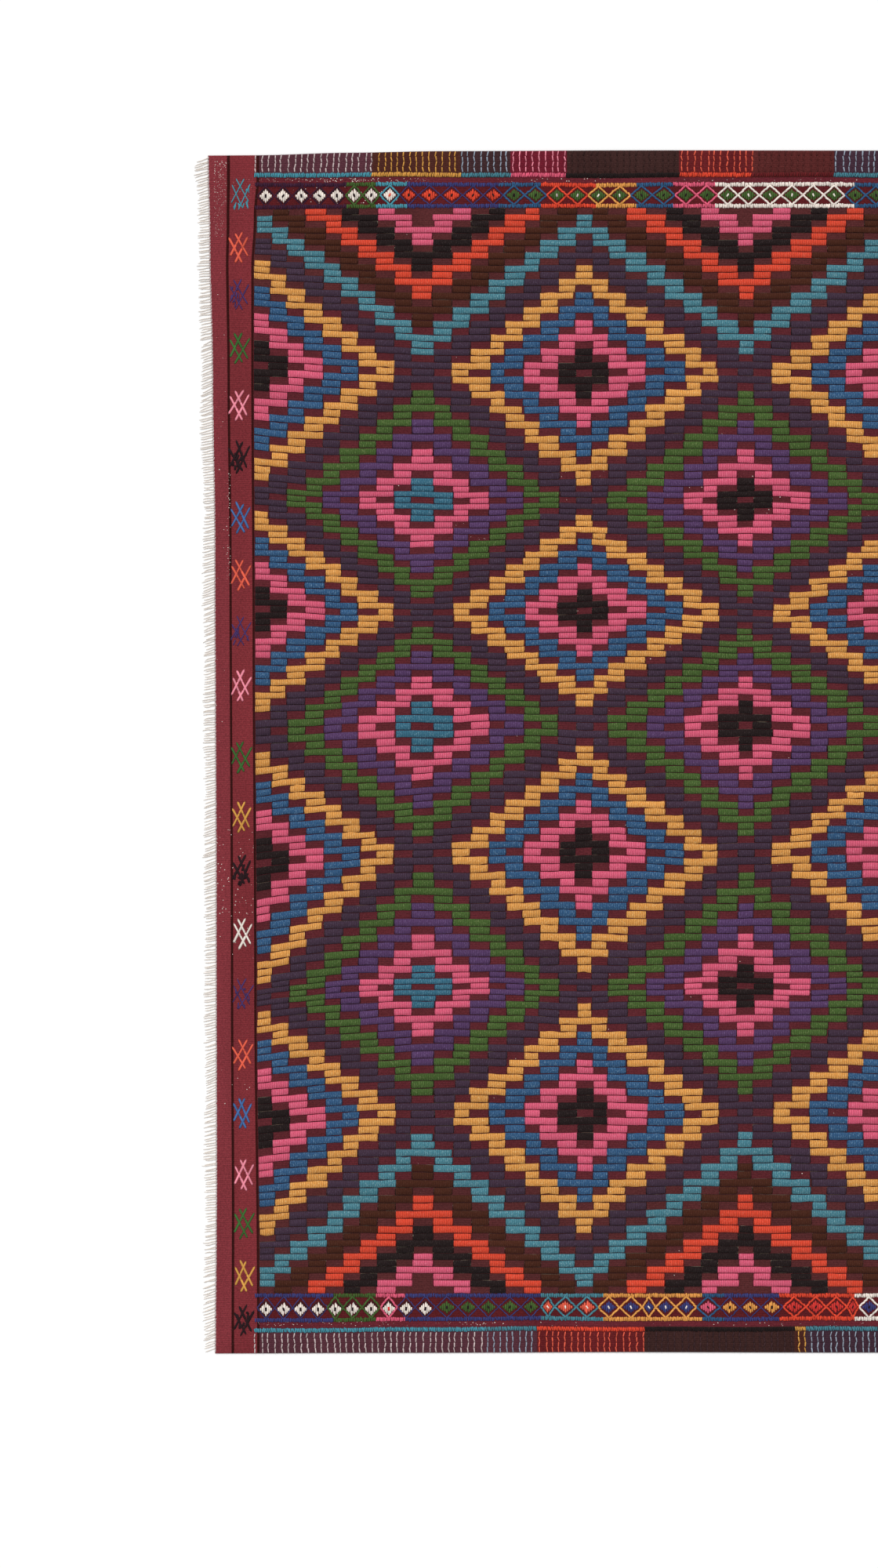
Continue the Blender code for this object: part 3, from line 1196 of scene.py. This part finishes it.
def fringe(end):
    """The yarns of one fringe: each wavers, leans towards the front and lies on the floor."""
    shape = yarn_shape
    y0 = np.arange(-HALF_WIDTH + 0.008, HALF_WIDTH - 0.009, YARN_PITCH)
    y0 = (y0 + chance(len(y0), 0.0004))[:, None]
    share = shape[0][None, :, 0]
    length = 0.0158 + 0.0010 * np.sin(31 * y0) + rng.normal(0, 0.0012, y0.shape)
    length = np.clip(length + 0.0035 * np.exp(-(((y0 - 0.825) / 0.012) ** 2)), 0.012, 0.0205)
    lean = -0.0042 + 0.0022 * np.sin(19 * y0 + 1.0) + rng.normal(0, 0.0009, y0.shape)
    curl = rng.uniform(-1, 1, y0.shape) * 0.0006
    out = (end_x(y0) - 0.0015) + (length + 0.0015) * share
    y = y0 + lean * share + curl * np.sin(share * 7.0) + YARN_THICK * shape[0][None, :, 1]
    lift = 0.0004 * np.sin(np.pi * share) * rng.uniform(0, 1, y0.shape)
    z = YARN_THICK * (0.45 + 0.8 * shape[0][None, :, 2]) + lift
    y = np.clip(y, -HALF_WIDTH + 0.0002, HALF_WIDTH - 0.0002)
    places = np.stack([end * out, y, np.maximum(z, 0.0001)], axis=-1)
    return batch(shape, places, colour_of("white"), chance(len(y0), 1))


yarn_shape = model_yarn()
left_yarns = lay("left_fringe_yarns", [fringe(-1)])
right_yarns = lay("right_fringe_yarns", [fringe(1)])
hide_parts("left_fringe")
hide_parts("right_fringe")
print("triangles in all:", sum(triangles.values()), "of which the largest piece", max(triangles.values()))

# %% [markdown]
# ## Writing a material
# A material is a small set of nodes. To keep it readable, a socket is wrapped so that
# sums on it are written as sums, and every other node comes from one method.


# %% A small kit for materials
class Wire:
    """A socket of a material that can be added to, scaled and compared like a number."""

    def __init__(self, finish, socket):
        self.finish = finish
        self.socket = socket

    def maths(self, operation, *values):
        return self.finish.node("ShaderNodeMath", {"operation": operation}, dict(enumerate(values)))

    def __add__(self, other):
        return self.maths("ADD", self, other)

    def __sub__(self, other):
        return self.maths("SUBTRACT", self, other)

    def __rsub__(self, other):
        return self.maths("SUBTRACT", other, self)

    def __mul__(self, other):
        return self.maths("MULTIPLY", self, other)

    def __truediv__(self, other):
        return self.maths("DIVIDE", self, other)

    def __gt__(self, other):
        return self.maths("GREATER_THAN", self, other)

    __radd__ = __add__
    __rmul__ = __mul__

    def wave(self):
        return self.maths("SINE", self)

    def size(self):
        return self.maths("ABSOLUTE", self)


class Finish:
    """A material, and the one method that adds a node to it."""

    def __init__(self, name):
        self.material = bpy.data.materials.new(name)
        self.material.use_nodes = True
        self.tree = self.material.node_tree
        self.tree.nodes.clear()

    def node(self, kind, settings=None, values=None, output=0):
        made = self.tree.nodes.new(kind)
        for name, value in (settings or {}).items():
            setattr(made, name, value)
        for name, value in (values or {}).items():
            if isinstance(value, Wire):
                self.tree.links.new(value.socket, made.inputs[name])
            else:
                made.inputs[name].default_value = value
        return Wire(self, made.outputs[output]) if made.outputs else None

    def place(self):
        """Object coordinates, whole and as x, y and z."""
        whole = self.node("ShaderNodeTexCoord", output="Object")
        parts = [self.node("ShaderNodeSeparateXYZ", None, {0: whole}, k) for k in range(3)]
        return whole, *parts

    def noise(self, where, scale, detail=2.0, rough=0.5):
        values = {"Vector": where, "Scale": scale, "Detail": detail, "Roughness": rough}
        return self.node("ShaderNodeTexNoise", {"noise_dimensions": "3D"}, values)

    def between(self, value, low, high, to_low=0.0, to_high=1.0):
        """Ease a value from one range to another, and stay in it."""
        settings = {"interpolation_type": "SMOOTHSTEP"}
        return self.node("ShaderNodeMapRange", settings, dict(enumerate([value, low, high, to_low, to_high])))

    def mix(self, share, first, second, how="MIX"):
        """Mix two colours; plain ones are given as three numbers."""
        a, b = [v if isinstance(v, Wire) else (*v, 1.0) for v in (first, second)]
        settings = {"data_type": "RGBA", "blend_type": how, "clamp_factor": True}
        return self.node("ShaderNodeMix", settings, {0: share, 6: a, 7: b}, 2)

    def stored(self, name, output):
        return self.node("ShaderNodeAttribute", {"attribute_name": name}, None, output)

    def bump(self, height, depth, strength=1.0):
        return self.node("ShaderNodeBump", None, {"Height": height, "Distance": depth, "Strength": strength})

    def surface(self, colour, roughness, normal, sheen, sheen_rough=0.5, specular=0.06):
        values = {"Base Color": colour, "Roughness": roughness, "Normal": normal}
        values |= {"Sheen Weight": sheen, "Sheen Roughness": sheen_rough}
        values |= {"Specular IOR Level": specular}
        shader = self.node("ShaderNodeBsdfPrincipled", None, values)
        self.node("ShaderNodeOutputMaterial", None, {"Surface": shader})
        return self.material


def give(piece, material):
    """Make a material the only one of a piece."""
    piece.data.materials.clear()
    piece.data.materials.append(material)


print("material kit ready")

# %% [markdown]
# ## The red wool of the ground
# The weft hides the warp, so the cloth shows fine ridges along the rug, each crossed by tiny weft
# stitches, with painted shade in the valleys between the ridges. The dye of the hank drifts, which weavers
# call abrash, and the wool has stray lighter fibres. Noise breaks up both the ridges and the stitches, as in
# hand-spun yarn.

# %% The finish of the ground cloth
WARP_PITCH = 0.0027
WEFT_PITCH = 0.0012
FULL_TURN = 2 * math.pi


def cloth_finish():
    f = Finish("kilim_wool_cloth")
    where, x, y, z = f.place()
    dye = f.stored("dye", "Color")
    waver = f.noise(where, 90.0) * 3.0
    ridge = (y * (math.pi / WARP_PITCH) + waver * 0.5).wave().size()
    weft = (x * (FULL_TURN / WEFT_PITCH) + waver * 2.0 + ridge * 2.0).wave()
    fuzz = f.noise(where, 1400.0, 3.0, 0.7)
    height = ridge * 0.6 + weft * 0.16 + fuzz * 0.5
    stretched = f.node("ShaderNodeMapping", None, {"Vector": where, "Scale": (14.0, 2.5, 1.0)})
    abrash = f.between(f.noise(stretched, 1.0, 3.0), 0.3, 0.7, 0.90, 1.10)
    grain = f.between(fuzz, 0.25, 0.75, 0.80, 1.22) * f.between(f.noise(where, 420.0), 0.3, 0.7, 0.82, 1.18)
    # painted shade: the colour is darkened in the valleys between the warp ridges
    valley_shade = f.between(ridge, 0.0, 0.5, 0.82, 1.0)
    shade = abrash * grain * valley_shade
    grey = f.node("ShaderNodeCombineColor", None, {0: shade, 1: shade, 2: shade})
    colour = f.mix(1.0, dye, grey, "MULTIPLY")
    stray = f.between(f.noise(where, 700.0, 2.0, 0.8), 0.66, 0.72)
    colour = f.mix(stray * 0.22, colour, linear("#c08a86"))
    return f.surface(colour, f.between(fuzz, 0.3, 0.7, 0.80, 0.95), f.bump(height, 0.0006), 0.03)


give(ground, cloth_finish())

# %% [markdown]
# ## The wool of the ribs
# A rib is packed with floats that cross it, so it is finely striped across. Its flanks, and the gaps between
# its floats, turn to the deeper groove colour, which is partly the threads beneath and partly painted shade.
# Some dyes hold more light fibres than others, and between dark ribs the pale warp glints through as thin
# broken lines.

# %% The finish of the ribs
FLOAT_PITCH = 0.0026
# the painted groove shade turns into the crown colour between these two heights
GROOVE_TOP, CROWN_FOOT = 0.0024, 0.0030  # heights between which the groove turns into the crown
LIGHT_FIBRES = {  # dye: colour of its light fibres, share of them
    "blue": ("#7fa0ba", 0.55),
    "teal": ("#a9ccd0", 0.45),
    "navy": ("#6e5f78", 0.30),
    "purple": ("#8c72a0", 0.35),
    "green": ("#8c9a66", 0.40),
    "yellow": ("#f6cf8e", 0.60),
    "pink": ("#f09ab0", 0.35),
    "orange": ("#f0846e", 0.35),
    "brown": ("#70483c", 0.30),
    "black": ("#544848", 0.30),
    "sea": ("#86b0c0", 0.50),
}
GLINTS = {"black": 0.75, "navy": 0.35, "brown": 0.45, "blue": 0.12}


def rib_finish(dye):
    crown, shaded_groove = [linear(code) for code in DYES[dye]]
    light, share = LIGHT_FIBRES[dye]
    f = Finish(f"wool_rib_{dye}")
    where, x, y, z = f.place()
    waver = f.noise(where, 160.0) * 5.0
    tone = f.stored("tone", "Fac")
    stripe = (x * (FULL_TURN / FLOAT_PITCH) + waver + tone * 0.8).wave()
    fuzz = f.noise(where, 1200.0, 3.0, 0.7)
    # painted shade: the flanks, and the gaps between floats, darken by height towards the groove colour
    lift = f.between(z + (fuzz - 0.5) * 0.0003, GROOVE_TOP, CROWN_FOOT)
    gap = f.between(stripe, -1.0, -0.35, 1.0, 0.0)
    lift = lift * (1.0 - gap * 0.45)
    colour = f.mix(lift, shaded_groove, crown)
    fine = f.node("ShaderNodeMapping", None, {"Vector": where, "Scale": (1.0, 0.35, 1.0)})
    fibres = f.between(f.noise(fine, 900.0, 2.0, 0.6), 0.52, 0.68) * lift
    colour = f.mix(fibres * share, colour, linear(light))
    shade = 1.0 + tone * 0.045 + (fuzz - 0.5) * 0.35
    grey = f.node("ShaderNodeCombineColor", None, {0: shade, 1: shade, 2: shade})
    colour = f.mix(1.0, colour, grey, "MULTIPLY")
    if dye in GLINTS:
        long = f.node("ShaderNodeMapping", None, {"Vector": where, "Scale": (38.0, 260.0, 1.0)})
        seen = f.between(f.noise(long, 1.0, 2.0), 0.55, 0.62) * f.between(z, 0.0024, 0.0028, 1.0, 0.0)
        colour = f.mix(seen * GLINTS[dye], colour, linear("#a09a84"))
    height = f.between(stripe, -1.0, 0.2) * 0.8 + fuzz * 0.5
    return f.surface(colour, f.between(fuzz, 0.3, 0.7, 0.72, 0.92), f.bump(height, 0.0007), 0.03)


for dye, piece in rib_pieces.items():
    give(piece, rib_finish(dye))

# %% [markdown]
# ## The yarn of the borders and the fringe
# Border floats are separate spindles, so they need no stripes: only the drift of tone from float to float,
# a fuzzy surface and painted shade that darkens each float towards its foot. The warp is undyed and loosely
# twisted, off-white with greyer hollows painted as shade along the twist.


# %% The finishes of the border yarns and the warp
def yarn_finish():
    f = Finish("border_wool_yarn")
    where, x, y, z = f.place()
    dye = f.stored("dye", "Color")
    tone = f.stored("tone", "Fac")
    fuzz = f.noise(where, 1300.0, 3.0, 0.7)
    # painted shade: each float is darker towards its foot, where it meets the cloth
    foot_shade = f.between(z, 0.0020, 0.0031, 0.55, 1.0)
    shade = (1.0 + tone * 0.10 + (fuzz - 0.5) * 0.5) * foot_shade
    grey = f.node("ShaderNodeCombineColor", None, {0: shade, 1: shade, 2: shade})
    colour = f.mix(1.0, dye, grey, "MULTIPLY")
    return f.surface(colour, f.between(fuzz, 0.3, 0.7, 0.70, 0.92), f.bump(fuzz, 0.0005), 0.03)


def warp_finish():
    f = Finish("undyed_warp_yarn")
    where, x, y, z = f.place()
    dye = f.stored("dye", "Color")
    tone = f.stored("tone", "Fac")
    # painted shade: the twist wave greys the hollows between the plies, and it also drives the bump
    twist = (x * 2600.0 + y * 1900.0 + tone * 3.0).wave()
    fuzz = f.noise(where, 1500.0, 3.0, 0.7)
    shade = 0.95 + tone * 0.04 + twist * 0.05 + (fuzz - 0.5) * 0.3
    grey = f.node("ShaderNodeCombineColor", None, {0: shade, 1: shade, 2: shade})
    colour = f.mix(1.0, dye, grey, "MULTIPLY")
    height = twist * 0.5 + fuzz
    return f.surface(colour, f.between(fuzz, 0.3, 0.7, 0.75, 0.95), f.bump(height, 0.0003), 0.03)


yarn_material = yarn_finish()
warp_material = warp_finish()
for piece in (stitches, cords, band_rails, band_frames, lozenges, motifs):
    give(piece, yarn_material)
for piece in (specks, loops, left_yarns, right_yarns):
    give(piece, warp_material)
print(len(bpy.data.materials), "materials")

# %% [markdown]
# ## The stage
# The rug lies on a plain pale floor under soft studio light: an even white surround and one broad
# lamp above the back edge, which draws the ribs without throwing hard shadows.

# %% The floor and the light
FLOOR_SIZE = 30.0
fresh_start()
bpy.ops.mesh.primitive_plane_add(size=FLOOR_SIZE, location=(0, 0, -0.0002))
floor = bpy.context.object
floor.name = "floor"
f = Finish("pale_floor")
where, x, y, z = f.place()
mottle = f.between(f.noise(where, 3.0), 0.3, 0.7, 0.975, 0.985)
pale = f.node("ShaderNodeCombineColor", None, {0: mottle, 1: mottle, 2: mottle})
give(floor, f.surface(pale, 0.9, f.bump(mottle, 0.0001), 0.0, 0.5, 0.0))

sun_data = bpy.data.lights.new("broad_lamp", "SUN")
sun_data.energy = 2.0
sun_data.angle = 0.7
sun = bpy.data.objects.new("broad_lamp", sun_data)
sun.rotation_euler = (math.radians(-38), math.radians(-8), 0)
bpy.context.scene.collection.objects.link(sun)

world = bpy.data.worlds.new("surround")
bpy.context.scene.world = world
world.use_nodes = True
world.node_tree.nodes["Background"].inputs["Color"].default_value = (1.0, 1.0, 1.0, 1.0)
world.node_tree.nodes["Background"].inputs["Strength"].default_value = 0.55
